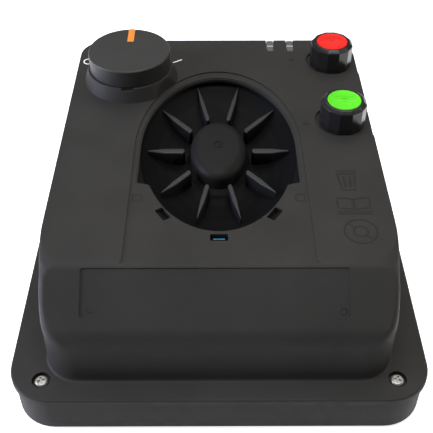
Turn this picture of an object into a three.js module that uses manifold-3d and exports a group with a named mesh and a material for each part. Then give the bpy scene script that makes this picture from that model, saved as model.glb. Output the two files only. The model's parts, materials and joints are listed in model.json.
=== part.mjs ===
// Fence energizer: a flanged plastic wall box with an oval ribbed dish, a rotary switch, two
// screw terminals and two indicator windows in its front, shown lying on its back.
// Millimetres. +X is right, +Y is the top of the unit, +Z is out of the front.
// The origin is the middle of the flat back.
import * as THREE from 'three';
import * as BufferGeometryUtils from 'three/addons/utils/BufferGeometryUtils.js';
import Module from 'manifold-3d';

// ---------- driving dimensions ----------
const GAP = 0.3; // between two pieces that touch
const WALL = 3; // cover wall

const FLANGE = { halfX: 101, halfY: 126.3, corner: 21, bottom: 21, top: 25 };
const BODY = { halfX: 85.7, halfY: 114.7, corner: 16.5, backTopY: 110.7, lean: 0.052 };
const FACE = 74.7; // height of the front face
const BEND_Y = -84.3; // where the face turns down into the slope
const SLOPE = THREE.MathUtils.degToRad(38);
const SLOPE_FILLET = 6;

const PANEL = { depth: 1, halfX: 45.3, archY: 2.3, archLength: 72, flare: 2 };
const OPENING = {
  halfX: 42, length: 65.3, lowHalfX: 40.6, lowLength: 65.2, stepOuterY: -27.6, stepInnerY: -29.3,
};
const LABEL = { x: -2, width: 124.2, length: 22.9, fromBend: 2.7, depth: 0.6 };

const DISH = { y: 4.6, stretch: 1.6, hubR: 15, rimR: 42.6, flangeR: 46.8, segments: 32 };
const RIB = { count: 10, innerR: 18.2, outerR: 38.5, outerShift: 3.2, width: 2.7, tipWidth: 0.6, top: -5.5 };
const HOOK = { width: 7, thick: 1.4, top: -1.6, bottom: -4.5, offset: 1.2 };
const HOOK_SLOTS = [
  { x: 0, y: -67.6, angle: 0 },
  { x: -27.6, y: -51.2, angle: -0.99 },
  { x: 27.6, y: -51.2, angle: 0.99 },
];
const HOOK_SLOT = { length: 8.7, width: 4.5 };

const SWITCH = {
  x: -52.1, y: 68.8, collarR: 27.8, collarTopR: 25, collarHeight: 8, collarHollowR: 21.5,
  notchHalfX: 3.5, notch: 1.4,
};
const KNOB = { radius: 24, bottom: 8.3, top: 18.7, wall: 2, roof: 2.5 };
const POINTER = { width: 3.9, length: 14.6, thick: 0.9 };
const SHAFT_R = 3;
const BUSH_R = 4.4;

const TERMINAL = {
  x: 69.5, fenceY: 85.7, earthY: 24.4, seatR: 10.8, tubeR: 5, washerR: 10.5,
  knobR: 12.8, knobBottom: -0.9, knobTop: 14.1, hollowR: 11.3, bevelR: 11, capR: 9.3, facets: 12,
};
const POCKET = { depth: 1.3, radius: 15, halfWidth: 13.4 };
const STUD_R = 3;

const GUIDE = {
  xs: [33.4, 45.9], width: 4.1, startY: 97.9, plate: 2.6, tail: 6.8, stem: 3, stemY: 99, stemBottom: 28.4,
};

const SCREW = { x: 85, y: 114.3, sinkR: 4.45, sinkDepth: 2.6, headR: 3.3, shankR: 1.75, tip: 8 };

const SHELL = { inset: 1, wall: 4.5, floor: 3, top: 20.7 };
const GROOVE = { width: 2.1, depth: 1.9 };
const KEYHOLE = { x: 60, y: 70, entryR: 5.2, neck: 5.2, travel: 11, lip: 2.2, depth: 8, bossR: 8.6 };
const INLET = {
  z: 10.3, wallY: 120.3, pocketHalfX: 12, pocketLow: 2.8, pocketHigh: 17.8,
  blockHalfX: 16, blockY: 114.3, flangeR: 7, tubeR: 5.6, boreR: 4.6, sealR: 3.3,
};

const BOARD = { halfX: 75, halfY: 95, bottom: 16, top: 17.6, screwX: 69, screwY: 89, bossR: 4, holeR: 1.8 };
const ON_BOARD = BOARD.top + GAP;

// ---------- finishes ----------
const BLACK_PLASTIC = { color: 0x34322e, roughness: 0.55, metalness: 0 };
const KNOB_PLASTIC = { color: 0x2a2a29, roughness: 0.45, metalness: 0 };
const DISH_PLASTIC = { color: 0x1e1e1e, roughness: 0.35, metalness: 0 };
const ORANGE_PLASTIC = { color: 0xf5963c, roughness: 0.45, metalness: 0 };
const RED_PLASTIC = { color: 0xe83028, roughness: 0.4, metalness: 0 };
const GREEN_PLASTIC = { color: 0x5fd822, roughness: 0.4, metalness: 0 };
const CLEAR_PLASTIC = { color: 0xd8dcd8, roughness: 0.2, metalness: 0 };
const NYLON = { color: 0xc9c6b8, roughness: 0.6, metalness: 0 };
const RUBBER = { color: 0x161616, roughness: 0.9, metalness: 0 };
const STEEL = { color: 0xc8c5bd, roughness: 0.35, metalness: 1 };
const BRASS = { color: 0xb89a50, roughness: 0.35, metalness: 1 };
const BOARD_GREEN = { color: 0x1f5a34, roughness: 0.5, metalness: 0 };
const LAMINATION = { color: 0x55575a, roughness: 0.5, metalness: 0.8 };
const COPPER = { color: 0xb06a3a, roughness: 0.4, metalness: 0.9 };
const ALUMINIUM = { color: 0xa9adb0, roughness: 0.4, metalness: 1 };
const COMPONENT_BLUE = { color: 0x24407a, roughness: 0.5, metalness: 0 };
const COMPONENT_BLACK = { color: 0x1b1b1d, roughness: 0.5, metalness: 0 };
const GLASS = { color: 0xd9e4e2, roughness: 0.1, metalness: 0 };

// ---------- solids ----------
const wasm = await Module();
wasm.setup();

// A closed three.js geometry as a solid, with its faces turned outwards.
function toSolid(geometry) {
  const plain = geometry.clone();
  plain.deleteAttribute('normal');
  plain.deleteAttribute('uv');
  const merged = BufferGeometryUtils.mergeVertices(plain, 1e-4);
  const points = merged.attributes.position.array;
  const corner = (i) => new THREE.Vector3(points[3 * i], points[3 * i + 1], points[3 * i + 2]);
  const triangles = [];
  let volume = 0;
  for (let i = 0; i < merged.index.count; i += 3) {
    const [a, b, c] = merged.index.array.slice(i, i + 3);
    if (a === b || b === c || c === a) continue;
    triangles.push([a, b, c]);
    volume += corner(a).dot(corner(b).cross(corner(c)));
  }
  const outward = volume > 0 ? triangles : triangles.map(([a, b, c]) => [a, c, b]);
  return new wasm.Manifold(new wasm.Mesh({
    numProp: 3,
    vertProperties: new Float32Array(points),
    triVerts: new Uint32Array(outward.flat()),
  }));
}

const asSolid = (shape) => (shape.isBufferGeometry ? toSolid(shape) : shape);
const join = (...shapes) => shapes.map(asSolid).reduce((whole, next) => whole.add(next));
const cut = (base, ...tools) => tools.map(asSolid).reduce((rest, tool) => rest.subtract(tool), asSolid(base));
const common = (a, b) => asSolid(a).intersect(asSolid(b));

function toGeometry(solid) {
  const mesh = solid.getMesh();
  const geometry = new THREE.BufferGeometry();
  geometry.setAttribute('position', new THREE.BufferAttribute(mesh.vertProperties, 3));
  geometry.setIndex(new THREE.BufferAttribute(mesh.triVerts, 1));
  geometry.computeVertexNormals();
  return geometry;
}

function piece(name, shape, finish) {
  const mesh = new THREE.Mesh(toGeometry(asSolid(shape)), new THREE.MeshStandardMaterial(finish));
  mesh.name = name;
  return mesh;
}

function groupAt(x, y, z, ...children) {
  const group = new THREE.Group();
  group.position.set(x, y, z);
  group.add(...children);
  return group;
}

// ---------- basic shapes ----------
function box(x0, x1, y0, y1, z0, z1) {
  const geometry = new THREE.BoxGeometry(x1 - x0, y1 - y0, z1 - z0);
  return geometry.translate((x0 + x1) / 2, (y0 + y1) / 2, (z0 + z1) / 2);
}

// A profile of [radius, height] points turned about the Z axis.
function lathe(profile, segments = 16) {
  const points = profile.map(([r, z]) => new THREE.Vector2(r, z));
  return new THREE.LatheGeometry(points, segments).rotateX(Math.PI / 2);
}

const disc = (radius, z0, z1, segments = 16) => lathe(
  [[0, z0], [radius, z0], [radius, z1], [0, z1]], segments);

const ring = (outer, inner, z0, z1, segments = 16) => lathe(
  [[inner, z0], [outer, z0], [outer, z1], [inner, z1], [inner, z0]], segments);

function slab(shape, z0, z1, curveSegments = 3) {
  const options = { depth: z1 - z0, bevelEnabled: false, curveSegments };
  return new THREE.ExtrudeGeometry(shape, options).translate(0, 0, z0);
}

// A shape drawn in (y, z) and extruded along X, centred on x = 0.
function sideSlab(shape, halfX, curveSegments = 4) {
  const options = { depth: 2 * halfX, bevelEnabled: false, curveSegments };
  const basis = new THREE.Matrix4().makeBasis(
    new THREE.Vector3(0, 1, 0), new THREE.Vector3(0, 0, 1), new THREE.Vector3(1, 0, 0));
  return new THREE.ExtrudeGeometry(shape, options).translate(0, 0, -halfX).applyMatrix4(basis);
}

function roundedRect(halfX, halfY, radius) {
  const shape = new THREE.Shape();
  const x = halfX - radius;
  const y = halfY - radius;
  shape.absarc(x, y, radius, 0, Math.PI / 2);
  shape.absarc(-x, y, radius, Math.PI / 2, Math.PI);
  shape.absarc(-x, -y, radius, Math.PI, 1.5 * Math.PI);
  shape.absarc(x, -y, radius, 1.5 * Math.PI, 2 * Math.PI);
  return shape;
}

function wire(points, radius, steps) {
  const section = new THREE.Shape().absarc(0, 0, radius, 0, 2 * Math.PI);
  const path = new THREE.CatmullRomCurve3(points.map((p) => new THREE.Vector3(...p)));
  return new THREE.ExtrudeGeometry(section, { steps, extrudePath: path, curveSegments: 4 });
}

// ---------- front cover ----------
// Side outline of the cover body in (y, z), moved inwards by an inset. The front wall leans back,
// a fillet leads to the slope, and the slope ends at the bend in the face.
function bodyOutline(inset) {
  const rise = Math.tan(SLOPE);
  const slopeZ = FACE - inset / Math.cos(SLOPE);
  const bendY = BEND_Y + (inset / Math.cos(SLOPE) - inset) / rise;
  const wallY = (z) => -BODY.halfY + inset + BODY.lean * (z - FLANGE.top);
  const cornerZ = (slopeZ + rise * (inset - BODY.halfY - BEND_Y - BODY.lean * FLANGE.top))
    / (1 - rise * BODY.lean);
  const fillet = SLOPE_FILLET - 0.45 * inset;
  const low = FLANGE.bottom - (inset > 0 ? 1 : 0);
  const shape = new THREE.Shape();
  shape.moveTo(wallY(low), low);
  shape.lineTo(wallY(cornerZ - fillet), cornerZ - fillet);
  shape.quadraticCurveTo(wallY(cornerZ), cornerZ,
    wallY(cornerZ) + fillet * Math.cos(SLOPE), cornerZ + fillet * Math.sin(SLOPE));
  shape.lineTo(bendY, FACE - inset);
  shape.lineTo(BODY.backTopY - inset, FACE - inset);
  shape.lineTo(BODY.halfY - inset, low);
  return shape;
}

function coverBody(inset) {
  const low = FLANGE.bottom - (inset > 0 ? 1 : 0);
  const plan = slab(roundedRect(BODY.halfX - inset, BODY.halfY - inset, BODY.corner - inset), low, FACE + 1);
  return common(plan, sideSlab(bodyOutline(inset), BODY.halfX + 1));
}

// The sunk centre panel: an arch at the top, straight sides, and corners that flare at the bend.
function panelOutline() {
  const { halfX, archY, archLength, flare } = PANEL;
  const lowY = BEND_Y - flare;
  const shape = new THREE.Shape();
  shape.absellipse(0, archY, halfX, archLength, 0, Math.PI);
  shape.lineTo(-halfX, BEND_Y + flare);
  shape.quadraticCurveTo(-halfX, BEND_Y, -halfX - flare, BEND_Y);
  shape.lineTo(-halfX - flare, lowY);
  shape.lineTo(halfX + flare, lowY);
  shape.lineTo(halfX + flare, BEND_Y);
  shape.quadraticCurveTo(halfX, BEND_Y, halfX, BEND_Y + flare);
  return shape;
}

// The dish opening: a half oval above a small step, and a slightly narrower half oval below it.
function openingOutline() {
  const { halfX, length, lowHalfX, lowLength, stepOuterY, stepInnerY } = OPENING;
  const y = PANEL.archY;
  const stepAngle = Math.asin((y - stepInnerY) / lowLength);
  const shape = new THREE.Shape();
  shape.absellipse(0, y, halfX, length, 0, Math.PI);
  shape.lineTo(-halfX, stepOuterY);
  shape.absellipse(0, y, lowHalfX, lowLength, Math.PI + stepAngle, 2 * Math.PI - stepAngle);
  shape.lineTo(halfX, stepOuterY);
  return shape;
}

const slotBox = ({ x, y, angle }, length, width, z0, z1) => (
  box(-length / 2, length / 2, -width / 2, width / 2, z0, z1).rotateZ(angle).translate(x, y, 0));

function terminalPocket(y) {
  const low = FACE - POCKET.depth;
  return join(
    disc(POCKET.radius, low, FACE + 5, 24).translate(TERMINAL.x, y, 0),
    box(TERMINAL.x, BODY.halfX + 5, y - POCKET.halfWidth, y + POCKET.halfWidth, low, FACE + 5));
}

function labelRecess() {
  const down = LABEL.fromBend + LABEL.length / 2;
  return box(-LABEL.width / 2, LABEL.width / 2, -LABEL.length / 2, LABEL.length / 2, -LABEL.depth, 5)
    .rotateX(SLOPE)
    .translate(LABEL.x, BEND_Y - down * Math.cos(SLOPE), FACE - down * Math.sin(SLOPE));
}

function guideSlot(x) {
  const halfX = GUIDE.width / 2 + GAP;
  const back = BODY.halfY + 5;
  return join(
    box(x - halfX, x + halfX, GUIDE.startY - GAP, back, FACE - GUIDE.plate - WALL, FACE + 5),
    box(x - halfX, x + halfX, BODY.backTopY - WALL - 2, back, FACE - GUIDE.tail - GAP, FACE + 5));
}

const CORNERS = [[-1, -1], [1, -1], [-1, 1], [1, 1]];
const atCorners = (x, y) => CORNERS.map(([sx, sy]) => [sx * x, sy * y]);

const coverScrewHole = ([x, y]) => join(
  disc(SCREW.sinkR, FLANGE.top - SCREW.sinkDepth, FLANGE.top + 5).translate(x, y, 0),
  disc(SCREW.shankR + 0.35, FLANGE.bottom - 1, FLANGE.top, 10).translate(x, y, 0));

function frontCover() {
  const { x, y, collarR, collarTopR, collarHeight, collarHollowR, notchHalfX, notch } = SWITCH;
  const flange = slab(roundedRect(FLANGE.halfX, FLANGE.halfY, FLANGE.corner), FLANGE.bottom, FLANGE.top);
  const collar = lathe([[0, FACE - 2.5], [collarR, FACE - 2.5], [collarR, FACE],
    [collarTopR, FACE + collarHeight], [0, FACE + collarHeight]], 32).translate(x, y, 0);
  const notchY = y - collarTopR;
  return cut(
    join(flange, coverBody(0), collar),
    coverBody(WALL),
    slab(panelOutline(), FACE - PANEL.depth, FACE + 20, 10),
    slab(openingOutline(), FACE - WALL - 1, FACE + 1, 10),
    ...HOOK_SLOTS.map((slot) => slotBox(slot, HOOK_SLOT.length, HOOK_SLOT.width, FACE - WALL - 1, FACE)),
    labelRecess(),
    disc(collarHollowR, FACE - WALL - 1, FACE + collarHeight - WALL).translate(x, y, 0),
    disc(BUSH_R + GAP, FACE, FACE + collarHeight + 1).translate(x, y, 0),
    box(x - notchHalfX, x + notchHalfX, notchY - 1, notchY + notch,
      FACE + collarHeight - notch, FACE + collarHeight + 1),
    ...[TERMINAL.fenceY, TERMINAL.earthY].map(terminalPocket),
    ...[TERMINAL.fenceY, TERMINAL.earthY].map((ty) => (
      disc(TERMINAL.tubeR + GAP, FACE - WALL - 1, FACE).translate(TERMINAL.x, ty, 0))),
    ...GUIDE.xs.map(guideSlot),
    ...atCorners(SCREW.x, SCREW.y).map((at) => coverScrewHole(at)));
}

// ---------- ribbed dish ----------
// Heights are below the face. The hub is level with the face, and the trough runs round it.
const DISH_TOP_PROFILE = [[0, 0], [DISH.hubR, 0], [DISH.hubR, -12.5], [17.5, -14], [22, -14.3], [28, -13],
  [34, -10.6], [38, -8], [41, -5.5], [DISH.rimR, -3.3]];
const DISH_UNDER_PROFILE = [[DISH.flangeR, -3.3], [DISH.flangeR, -5.1], [44.2, -5.1], [42.6, -7.2],
  [39.3, -10], [35, -12.6], [28.5, -14.9], [22, -16.2], [16.5, -15.9], [13.2, -14]];
const DISH_HUB_HOLLOW = [[13.2, -2], [0, -2]];

const dishLathe = (profile) => lathe(profile, DISH.segments).scale(1, DISH.stretch, 1);

// One fin: a round inner end near the hub, tapering to a point near the rim. It is stretched with the dish.
function ribFin(index) {
  const angle = (index * 2 * Math.PI) / RIB.count;
  const length = RIB.outerR + RIB.outerShift * Math.sin(angle) - RIB.innerR;
  const half = RIB.width / 2;
  const shape = new THREE.Shape();
  shape.moveTo(length, -RIB.tipWidth / 2);
  shape.lineTo(length, RIB.tipWidth / 2);
  shape.lineTo(length * 0.55, half);
  shape.absarc(half, 0, half, Math.PI / 2, 1.5 * Math.PI);
  shape.lineTo(length * 0.55, -half);
  return slab(shape, -15, RIB.top, 2).translate(RIB.innerR, 0, 0).rotateZ(angle).scale(1, DISH.stretch, 1);
}

function ribbedDish() {
  const bowl = dishLathe([...DISH_TOP_PROFILE, ...DISH_UNDER_PROFILE, ...DISH_HUB_HOLLOW]);
  const envelope = dishLathe(
    [[0, RIB.top], [DISH.flangeR, RIB.top], ...DISH_UNDER_PROFILE.slice(2), [0, -14]]);
  const fins = Array.from({ length: RIB.count }, (_, index) => ribFin(index));
  const hooks = HOOK_SLOTS.map(({ x, y, angle }) => {
    const outwardX = Math.sin(angle) * HOOK.offset;
    const outwardY = -Math.cos(angle) * HOOK.offset;
    const place = { x: x + outwardX, y: y + outwardY - DISH.y, angle };
    return slotBox(place, HOOK.width, HOOK.thick, HOOK.bottom, HOOK.top);
  });
  return join(bowl, ...fins.map((fin) => common(fin, envelope)), ...hooks);
}

// ---------- rotary switch, heights from the face ----------
function rotarySwitch() {
  const top = SWITCH.collarHeight;
  const bodyTop = top - WALL - 1.7;
  const body = cut(
    join(
      box(-12, 12, -12, 12, -8, bodyTop),
      disc(BUSH_R, bodyTop - 1, top + 3),
      ...[-8, 0, 8].map((x) => box(x - 1.5, x + 1.5, -9.4, -8.6, -13, -7))),
    disc(SHAFT_R + GAP, -5, top + 4));
  const nut = cut(disc(6.9, top + GAP, top + 2.8, 6), disc(BUSH_R + GAP, top, top + 4));
  const knobShell = lathe([[0, KNOB.top - KNOB.roof], [KNOB.radius - KNOB.wall, KNOB.top - KNOB.roof],
    [KNOB.radius - KNOB.wall, KNOB.bottom], [KNOB.radius, KNOB.bottom], [KNOB.radius, KNOB.top - 0.8],
    [KNOB.radius - 0.8, KNOB.top], [0, KNOB.top]], 32);
  const halfPointer = POINTER.width / 2;
  const pointerStart = KNOB.radius - POINTER.length;
  const slotFloor = KNOB.top - POINTER.thick - GAP;
  const knob = cut(
    join(knobShell, disc(6, top + 3.4, KNOB.top - 1.5)),
    disc(SHAFT_R + GAP, top, KNOB.top - 3),
    box(-halfPointer - GAP, halfPointer + GAP, pointerStart - GAP, KNOB.radius + 1, slotFloor, KNOB.top + 1));
  const pointer = common(
    box(-halfPointer, halfPointer, pointerStart, KNOB.radius + 1, slotFloor + GAP, KNOB.top),
    disc(KNOB.radius - 0.1, 0, KNOB.top + 1, 96));
  return groupAt(SWITCH.x, SWITCH.y, FACE,
    piece('switch_body', body, COMPONENT_BLACK),
    piece('switch_seal', ring(8, BUSH_R + GAP, bodyTop + GAP, top - WALL - GAP), RUBBER),
    piece('switch_nut', nut, STEEL),
    piece('switch_shaft', disc(SHAFT_R, -4, KNOB.top - 3 - GAP), BRASS),
    piece('knob', knob, KNOB_PLASTIC),
    piece('knob_pointer', pointer, ORANGE_PLASTIC));
}

// ---------- screw terminal, heights from the face ----------
// The knob reaches down round the seat and the washer, which clamp the wire between them.
function terminal(prefix, y, capFinish) {
  const { seatR, tubeR, washerR, knobR, knobBottom, knobTop, hollowR, bevelR, capR, facets } = TERMINAL;
  const boreR = STUD_R + GAP;
  const seatLow = -POCKET.depth + GAP;
  const seatTop = -0.1;
  const washerTop = seatTop + GAP + 1.2;
  const capLow = knobTop - 1.1;
  const seat = join(ring(seatR, boreR, seatLow, seatTop, 20), ring(tubeR, boreR, -8, seatLow + 0.2, 20));
  const seatNut = cut(disc(9, -6.3, -WALL - GAP, 6), disc(tubeR + GAP, -8, 0));
  const stud = join(disc(STUD_R, -20, 10.5, 12), disc(6.2, -11.5, -8 - GAP, 6));
  const innerNut = cut(disc(5.8, -16.1, -13.1, 6), disc(boreR, -20, -10));
  const tag = cut(
    join(disc(5.4, -12.8, -11.8), box(-2, 2, -14, 0, -12.8, -11.8)),
    disc(boreR, -14, -10));
  const washer = ring(washerR, boreR, seatTop + GAP, washerTop, 20);
  const knobBody = lathe([[0, knobBottom], [knobR - 0.4, knobBottom], [knobR, knobBottom + 0.5],
    [knobR, knobTop - 1.6], [bevelR, knobTop], [0, knobTop]], facets).rotateZ(Math.PI / facets);
  const knob = cut(knobBody,
    disc(hollowR, knobBottom - 1, washerTop + GAP, 20), disc(boreR, 0, 11.5),
    disc(capR + GAP, capLow - GAP, knobTop + 1, 24));
  return groupAt(TERMINAL.x, y, FACE,
    piece(`${prefix}_terminal_seat`, seat, BLACK_PLASTIC),
    piece(`${prefix}_seat_nut`, seatNut, NYLON),
    piece(`${prefix}_stud`, stud, STEEL),
    piece(`${prefix}_stud_nut`, innerNut, STEEL),
    piece(`${prefix}_ring_tag`, tag, BRASS),
    piece(`${prefix}_clamp_washer`, washer, STEEL),
    piece(`${prefix}_knob`, knob, KNOB_PLASTIC),
    piece(`${prefix}_knob_cap`, disc(capR, capLow, knobTop + 0.1, 24), capFinish));
}

// ---------- indicator windows and lamps ----------
function indicator(x, number) {
  const halfX = GUIDE.width / 2;
  const halfStem = GUIDE.stem / 2;
  const back = BODY.backTopY - 0.1;
  const guide = join(
    box(x - halfX, x + halfX, GUIDE.startY, back, FACE - GUIDE.plate, FACE),
    box(x - halfX, x + halfX, back - WALL, back, FACE - GUIDE.tail, FACE),
    box(x - halfStem, x + halfStem, GUIDE.stemY, GUIDE.stemY + GUIDE.stem, GUIDE.stemBottom, FACE));
  const lamp = lathe([[0, 0], [2.5, 0], [2.5, 7.5], [1.8, 9.2], [0, 10]], 12)
    .translate(x, GUIDE.stemY + halfStem, ON_BOARD);
  return [piece(`light_guide_${number}`, guide, CLEAR_PLASTIC), piece(`lamp_${number}`, lamp, GLASS)];
}

// ---------- back shell ----------
function keyholeBoss(side) {
  const { x, y, travel, depth, bossR } = KEYHOLE;
  const shape = roundedRect(bossR, bossR + travel / 2, bossR - 0.1);
  return slab(shape, 0, depth + 2.5).translate(side * x, y + travel / 2, 0);
}

// A wide entry hole, a narrow neck above it, and a hollow behind both for the screw head.
function keyholeCut(side) {
  const { x, y, entryR, neck, travel, lip, depth } = KEYHOLE;
  const track = roundedRect(entryR, entryR + travel / 2, entryR - 0.1);
  const tools = [
    disc(entryR, -1, lip + 1),
    box(-neck / 2, neck / 2, 0, travel, -1, lip + 1),
    slab(track, lip, depth).translate(0, travel / 2, 0),
  ];
  return join(...tools.map((tool) => tool.translate(side * x, y, 0)));
}

function backShell() {
  const halfX = FLANGE.halfX - SHELL.inset;
  const halfY = FLANGE.halfY - SHELL.inset;
  const corner = FLANGE.corner - SHELL.inset;
  const plan = (inset, z0, z1) => slab(roundedRect(halfX - inset, halfY - inset, corner - inset), z0, z1);
  const outerGroove = (SHELL.wall - GROOVE.width) / 2;
  const grooveFloor = SHELL.top - GROOVE.depth;
  const groove = cut(plan(outerGroove, grooveFloor, SHELL.top + 1),
    plan(outerGroove + GROOVE.width, grooveFloor - 1, SHELL.top + 2));
  const { z, wallY, pocketHalfX, pocketLow, pocketHigh, blockHalfX, blockY, tubeR } = INLET;
  const alongY = (radius, y0, y1) => disc(radius, y0, y1).rotateX(-Math.PI / 2).translate(0, 0, z);
  return cut(
    join(
      cut(plan(0, 0, SHELL.top), plan(SHELL.wall, SHELL.floor, SHELL.top + 1)),
      ...atCorners(SCREW.x, SCREW.y).map(([x, y]) => disc(5.5, 1, SHELL.top).translate(x, y, 0)),
      ...atCorners(BOARD.screwX, BOARD.screwY).map(([x, y]) => (
        disc(BOARD.bossR, 1, BOARD.bottom - GAP, 12).translate(x, y, 0))),
      box(-blockHalfX, blockHalfX, blockY, halfY - 1, 1, SHELL.top),
      keyholeBoss(-1), keyholeBoss(1)),
    groove,
    ...atCorners(SCREW.x, SCREW.y).map(([x, y]) => (
      disc(SCREW.shankR + GAP, SCREW.tip - 1, SHELL.top + 1, 10).translate(x, y, 0))),
    ...atCorners(BOARD.screwX, BOARD.screwY).map(([x, y]) => (
      disc(BOARD.holeR, 6, BOARD.bottom, 8).translate(x, y, 0))),
    box(-pocketHalfX, pocketHalfX, wallY, halfY + 5, pocketLow, pocketHigh),
    alongY(tubeR + GAP, blockY - 1, wallY + 1),
    keyholeCut(-1), keyholeCut(1));
}

function gasket() {
  const halfX = FLANGE.halfX - SHELL.inset;
  const halfY = FLANGE.halfY - SHELL.inset;
  const corner = FLANGE.corner - SHELL.inset;
  const outer = (SHELL.wall - GROOVE.width) / 2 + GAP;
  const inner = outer + GROOVE.width - 2 * GAP;
  const low = SHELL.top - GROOVE.depth + GAP;
  return cut(
    slab(roundedRect(halfX - outer, halfY - outer, corner - outer), low, FLANGE.bottom - GAP),
    slab(roundedRect(halfX - inner, halfY - inner, corner - inner), low - 1, FLANGE.bottom));
}

const coverScrew = () => cut(
  lathe([[0, SCREW.tip], [SCREW.shankR, SCREW.tip + 1.5],
    [SCREW.shankR, FLANGE.top - SCREW.sinkDepth + GAP], [SCREW.headR, FLANGE.top - SCREW.sinkDepth + GAP],
    [SCREW.headR, FLANGE.top - 1], [SCREW.headR - 0.9, FLANGE.top - 0.2], [0, FLANGE.top]], 12),
  box(-2.1, 2.1, -0.4, 0.4, FLANGE.top - 1.2, FLANGE.top + 1),
  box(-0.4, 0.4, -2.1, 2.1, FLANGE.top - 1.2, FLANGE.top + 1));

// ---------- supply lead inlet in the top wall ----------
function supplyInlet() {
  const { wallY, blockY, flangeR, tubeR, boreR, sealR, z } = INLET;
  const outside = wallY + GAP;
  const inside = blockY - GAP;
  const body = lathe([[boreR, inside - 3.5], [tubeR, inside - 3.5], [tubeR, outside], [flangeR, outside],
    [flangeR, outside + 3.4], [flangeR - 0.6, outside + 4], [boreR, outside + 4], [boreR, inside - 3.5]]);
  const nut = cut(
    disc(8, inside - 3, inside, 6).rotateZ(Math.PI / 6),
    disc(tubeR + GAP, inside - 4, inside + 1));
  const seal = ring(boreR - GAP, sealR, inside - 3, outside + 3.6);
  const group = groupAt(0, 0, z,
    piece('inlet_body', body, BLACK_PLASTIC),
    piece('inlet_nut', nut, NYLON),
    piece('inlet_seal', seal, RUBBER));
  group.rotation.x = -Math.PI / 2;
  return group;
}

// ---------- circuit board and what stands on it ----------
function circuitBoard() {
  const holes = atCorners(BOARD.screwX, BOARD.screwY).map(([x, y]) => (
    disc(BOARD.holeR, BOARD.bottom - 1, BOARD.top + 1, 8).translate(x, y, 0)));
  return cut(slab(roundedRect(BOARD.halfX, BOARD.halfY, 3), BOARD.bottom, BOARD.top, 3), ...holes);
}

const boardScrew = () => lathe([[0, 7], [1.5, 7], [1.5, ON_BOARD], [2.8, ON_BOARD], [2.8, ON_BOARD + 1.4],
  [1.6, ON_BOARD + 2], [0, ON_BOARD + 2]], 8);

// Laminated core with two windows; its middle limb stands up through the bobbin.
function pulseTransformer() {
  const coreZ = { low: 0, high: 38 };
  const windowZ = { low: 6, high: 32 };
  const core = cut(box(-30, 30, -11, 11, coreZ.low, coreZ.high),
    box(-21, -9, -12, 12, windowZ.low, windowZ.high), box(9, 21, -12, 12, windowZ.low, windowZ.high));
  const low = windowZ.low + GAP;
  const high = windowZ.high - GAP;
  const flange = (z) => slab(roundedRect(20.7, 22, 3), z, z + 1.2, 2);
  const bobbin = cut(
    join(flange(low), flange(high - 1.2), box(-10.4, 10.4, -12.4, 12.4, low, high)),
    box(-9 - GAP, 9 + GAP, -11 - GAP, 11 + GAP, low - 1, high + 1));
  const winding = cut(
    slab(roundedRect(20, 21.4, 5), low + 1.2 + GAP, high - 1.2 - GAP),
    box(-10.7, 10.7, -12.7, 12.7, low, high));
  return groupAt(-32, -58, ON_BOARD,
    piece('transformer_core', core, LAMINATION),
    piece('transformer_bobbin', bobbin, NYLON),
    piece('transformer_winding', winding, COPPER));
}

function storageCapacitor(name, x, y) {
  return groupAt(x, y, ON_BOARD,
    piece(name, slab(roundedRect(25, 13.5, 1.5), 0, 36, 2), COMPONENT_BLUE));
}

function switchingStage() {
  const fins = [-9, -3, 3, 9].map((x) => box(x - 0.8, x + 0.8, 1.5, 14, 0, 26));
  const sink = join(box(-13, 13, 0, 2.5, 0, 26), ...fins);
  const thyristor = join(box(-5.2, 5.2, -4.8, -GAP, 5, 24),
    ...[-3, 0, 3].map((x) => box(x - 0.5, x + 0.5, -3, -2.2, 0, 6)));
  return groupAt(48, 6, ON_BOARD,
    piece('heat_sink', sink, ALUMINIUM),
    piece('thyristor', thyristor, COMPONENT_BLACK));
}

function fuse() {
  const clip = (x) => cut(box(x - 2, x + 2, -4, 4, 1, 8), disc(2.9, -20, 20, 16).rotateY(Math.PI / 2)
    .translate(0, 0, 5.4), box(x - 3, x + 3, -2, 2, 5.4, 9));
  const holder = join(box(-12, 12, -4.5, 4.5, 0, 1.6), clip(-8), clip(8));
  const link = lathe([[0, -10], [2.6, -10], [2.6, -5], [2.2, -5], [2.2, 5], [2.6, 5], [2.6, 10], [0, 10]], 16)
    .rotateY(Math.PI / 2).translate(0, 0, 5.4);
  return groupAt(-30, 84, ON_BOARD,
    piece('fuse_holder', holder, BRASS),
    piece('fuse_link', link, GLASS));
}

function boardParts() {
  const varistor = join(disc(7, -2, 2).rotateX(Math.PI / 2).translate(0, 0, 9), box(-4, 4, -0.5, 0.5, 0, 6));
  const canister = lathe([[0, 0], [8, 0], [8, 24.5], [7.4, 25], [0, 25]]);
  const chip = cut(box(-9, 9, -4, 4, 0, 3.5), disc(1, 3, 4, 10).translate(-8, 0, 0));
  const connector = cut(box(-11, 11, -4, 4, 0, 9), ...[-7.5, -2.5, 2.5, 7.5].map((x) => (
    box(x - 1.6, x + 1.6, -2.5, 2.5, 3, 10))));
  const supplyTransformer = join(box(-11, 11, -9, 9, 0, 14), box(-8, 8, -10.5, 10.5, 3, 11));
  return [
    groupAt(-4, 84, ON_BOARD, piece('varistor', varistor, COMPONENT_BLUE)),
    groupAt(-62, 40, ON_BOARD, piece('filter_capacitor', canister, COMPONENT_BLACK)),
    groupAt(10, 52, ON_BOARD, piece('control_chip', chip, COMPONENT_BLACK)),
    groupAt(58, 60, ON_BOARD, piece('lead_connector', connector, NYLON)),
    groupAt(-30, 50, ON_BOARD, piece('supply_transformer', supplyTransformer, COMPONENT_BLACK)),
  ];
}

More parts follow.
